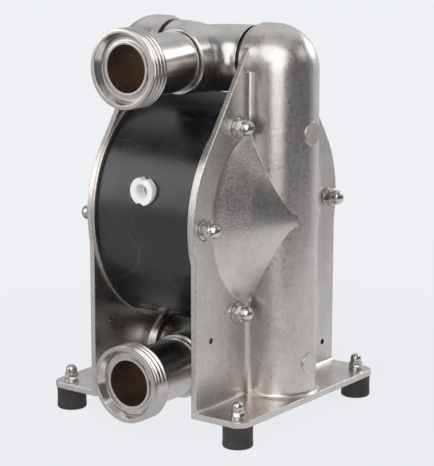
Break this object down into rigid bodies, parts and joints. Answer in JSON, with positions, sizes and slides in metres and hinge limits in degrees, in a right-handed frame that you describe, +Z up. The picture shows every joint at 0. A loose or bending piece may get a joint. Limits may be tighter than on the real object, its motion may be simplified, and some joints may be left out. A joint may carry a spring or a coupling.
{
  "type": "diaphragm pump",
  "caption": "Air-operated double diaphragm pump: upright steel housings clamp a round plastic block, with swept inlet and outlet pipes in front and rubber feet.",
  "frame": {"origin": "on the floor, midway between the four rubber feet", "axes": "+Z up; X is the diaphragm shaft's axis; the inlet and outlet ports face -Y and the silencer is at +Y"},
  "size_m": [0.2006, 0.267, 0.3301],
  "materials": {
    "cast_steel": "bead-blasted satin",
    "turned_steel": "turned and brushed",
    "fastener_steel": "polished",
    "block_plastic": "machined, soft sheen",
    "foot_rubber": "matt",
    "seal_rubber": "matt",
    "white_plastic": "moulded, satin",
    "silencer_plastic": "porous, matt",
    "ball_plastic": "smooth",
    "membrane_plastic": "smooth",
    "valve_brass": "turned",
    "valve_aluminium": "anodised"
  },
  "bodies": {
    "casing": {"right_housing": "cast_steel", "left_housing": "cast_steel", "centre_block": "block_plastic", "tie_rods": "fastener_steel", "tie_rod_nuts": "fastener_steel", "tie_rod_washers": "fastener_steel", "rubber_feet": "foot_rubber", "foot_inserts": "fastener_steel", "foot_studs": "fastener_steel", "foot_washers": "fastener_steel", "foot_nuts": "fastener_steel", "outlet_seals": "seal_rubber", "inlet_seals": "seal_rubber", "suction_seats": "turned_steel", "discharge_seats": "turned_steel", "ball_stop_pins": "fastener_steel", "shaft_seals": "seal_rubber", "air_valve_sleeve": "valve_brass", "air_valve_caps": "valve_aluminium", "air_inlet_adapter": "white_plastic", "exhaust_silencer": "silencer_plastic"},
    "drive": {"diaphragm_shaft": "turned_steel", "diaphragm_cores": "turned_steel", "diaphragm_right": "membrane_plastic", "diaphragm_left": "membrane_plastic"},
    "spool": {"air_valve_spool": "valve_aluminium"},
    "outlet_port": {"outlet_manifold": "turned_steel", "outlet_union": "turned_steel", "outlet_port_seal": "seal_rubber"},
    "inlet_port": {"inlet_manifold": "turned_steel", "inlet_union": "turned_steel", "inlet_port_seal": "seal_rubber"},
    "suction_right_ball": {"suction_ball_right": "ball_plastic"},
    "suction_left_ball": {"suction_ball_left": "ball_plastic"},
    "discharge_right_ball": {"discharge_ball_right": "ball_plastic"},
    "discharge_left_ball": {"discharge_ball_left": "ball_plastic"}
  },
  "joints": [
    {"name": "shaft_slide", "type": "slide", "parent": "casing", "child": "drive", "axis": [1, 0, 0], "range_m": [-0.008, 0.008], "deforming": ["diaphragm_right", "diaphragm_left"]},
    {"name": "spool_slide", "type": "slide", "parent": "casing", "child": "spool", "axis": [1, 0, 0], "range_m": [-0.005, 0.005]},
    {"name": "outlet_swivel", "type": "hinge", "parent": "casing", "child": "outlet_port", "pos_m": [0, 0, 0.298], "axis": [-1, 0, 0], "range_deg": [-10, 190]},
    {"name": "inlet_swivel", "type": "hinge", "parent": "casing", "child": "inlet_port", "pos_m": [0, 0, 0.043], "axis": [-1, 0, 0], "range_deg": [-3, 12]},
    {"name": "suction_right_lift", "type": "slide", "parent": "casing", "child": "suction_right_ball", "axis": [0, 0, 1], "range_m": [0, 0.008]},
    {"name": "suction_left_lift", "type": "slide", "parent": "casing", "child": "suction_left_ball", "axis": [0, 0, 1], "range_m": [0, 0.008]},
    {"name": "discharge_right_lift", "type": "slide", "parent": "casing", "child": "discharge_right_ball", "axis": [0, 0, 1], "range_m": [0, 0.008]},
    {"name": "discharge_left_lift", "type": "slide", "parent": "casing", "child": "discharge_left_ball", "axis": [0, 0, 1], "range_m": [0, 0.008]}
  ]
}
